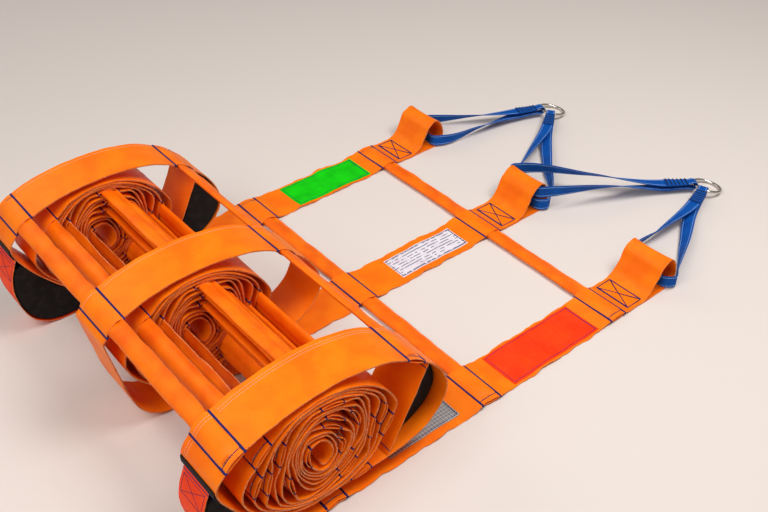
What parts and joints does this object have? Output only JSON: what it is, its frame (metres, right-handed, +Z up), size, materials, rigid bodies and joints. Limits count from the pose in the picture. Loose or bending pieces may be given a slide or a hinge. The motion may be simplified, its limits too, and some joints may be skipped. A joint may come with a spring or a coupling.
{
  "type": "escape ladder",
  "caption": "Rolled escape ladder of orange coated-fabric straps with sleeved rungs, foam stand-offs and a blue webbing bridle with steel rings, its top end laid out flat.",
  "frame": {"origin": "on the ground, under the middle of the whole object's box", "axes": "+X along the rungs, +Y along the laid-out straps towards the rings, +Z up"},
  "size_m": [0.7196, 1.272, 0.2408],
  "materials": {
    "coated_fabric": "orange coated fabric, satin, with a fine weave under the coat",
    "band_fabric": "red-orange coated fabric, matt, fine weave",
    "green_fabric": "green coated fabric, satin",
    "red_fabric": "fluorescent red-orange coated fabric, satin",
    "label_vinyl": "white vinyl label with grey ruled lines",
    "reflective_tape": "silver-grey reflective sheet with a honeycomb pattern",
    "foam": "black closed-cell foam in a black fabric cover, matt",
    "webbing": "blue woven webbing, ribbed",
    "ring_steel": "polished steel",
    "rung_core": "glass-fibre batten, matt"
  },
  "bodies": {
    "laid_out_bay": {"strap_bay_2_left": "coated_fabric", "strap_bay_2_centre": "coated_fabric", "strap_bay_2_right": "coated_fabric", "strap_bay_3_left": "coated_fabric", "strap_bay_3_centre": "coated_fabric", "strap_bay_3_right": "coated_fabric", "rung_sleeve_03": "coated_fabric", "rung_rod_03": "rung_core", "rung_sleeve_04": "coated_fabric", "rung_rod_04": "rung_core", "reflective_patch": "reflective_tape", "front_foam_left": "foam", "front_foam_right": "foam", "front_band_left": "band_fabric", "front_band_right": "band_fabric"},
    "roll": {"strap_roll_left": "coated_fabric", "strap_roll_centre": "coated_fabric", "strap_roll_right": "coated_fabric", "rung_rod_05": "rung_core", "rung_sleeve_05": "coated_fabric", "rung_sleeve_06": "coated_fabric", "rung_sleeve_07": "coated_fabric", "rung_sleeve_08": "coated_fabric", "rung_sleeve_09": "coated_fabric", "rung_sleeve_10": "coated_fabric", "rung_sleeve_11": "coated_fabric", "rung_sleeve_12": "coated_fabric", "rung_sleeve_13": "coated_fabric", "rung_sleeve_14": "coated_fabric", "rung_sleeve_15": "coated_fabric", "rung_sleeve_16": "coated_fabric", "rung_sleeve_17": "coated_fabric", "rung_sleeve_18": "coated_fabric", "rung_sleeve_19": "coated_fabric", "rung_sleeve_20": "coated_fabric", "rung_sleeve_21": "coated_fabric", "rung_sleeve_22": "coated_fabric", "back_foam_left": "foam", "back_foam_right": "foam", "back_chord_left": "coated_fabric", "back_chord_right": "coated_fabric"},
    "bay_1": {"strap_bay_1_left": "coated_fabric", "strap_bay_1_centre": "coated_fabric", "strap_bay_1_right": "coated_fabric", "rung_sleeve_02": "coated_fabric", "rung_rod_02": "rung_core", "green_patch": "green_fabric", "red_patch": "red_fabric", "data_label": "label_vinyl"},
    "top_end": {"strap_end_left": "coated_fabric", "strap_end_centre": "coated_fabric", "strap_end_right": "coated_fabric", "rung_sleeve_01": "coated_fabric", "rung_rod_01": "rung_core"},
    "left_bridle": {"sling_left": "webbing", "sling_centre_left": "webbing"},
    "right_bridle": {"sling_centre_right": "webbing", "sling_right": "webbing"},
    "ring_1": {"ring_1": "ring_steel"},
    "ring_2": {"ring_2": "ring_steel"}
  },
  "joints": [
    {"name": "roll_turn", "type": "hinge", "parent": "laid_out_bay", "child": "roll", "pos_m": [0, -0.57133, 0.22129], "axis": [1, 0, 0], "range_deg": [0, 126]},
    {"name": "bay_fold", "type": "hinge", "parent": "laid_out_bay", "child": "bay_1", "pos_m": [0, -0.16247, 0.007], "axis": [1, 0, 0], "range_deg": [0, 80]},
    {"name": "end_fold", "type": "hinge", "parent": "bay_1", "child": "top_end", "pos_m": [0, 0.14118, 0.00697], "axis": [1, 0, 0], "range_deg": [0, 35]},
    {"name": "left_bridle_lift", "type": "hinge", "parent": "top_end", "child": "left_bridle", "pos_m": [0, 0.29156, 0.03], "axis": [1, 0, 0], "range_deg": [0, 20]},
    {"name": "right_bridle_lift", "type": "hinge", "parent": "top_end", "child": "right_bridle", "pos_m": [0, 0.29156, 0.03], "axis": [1, 0, 0], "range_deg": [0, 20]},
    {"name": "ring_1_swing", "type": "hinge", "parent": "left_bridle", "child": "ring_1", "pos_m": [-0.19683, 0.56658, 0.0168], "axis": [0.992, 0.1222, -0.0327], "range_deg": [0, 30]},
    {"name": "ring_2_swing", "type": "hinge", "parent": "right_bridle", "child": "ring_2", "pos_m": [0.20621, 0.58134, 0.01687], "axis": [0.9888, -0.1442, 0.0386], "range_deg": [0, 30]}
  ],
  "couplings": [
    {"joint": "right_bridle_lift", "follows": "left_bridle_lift", "ratio": 1}
  ]
}
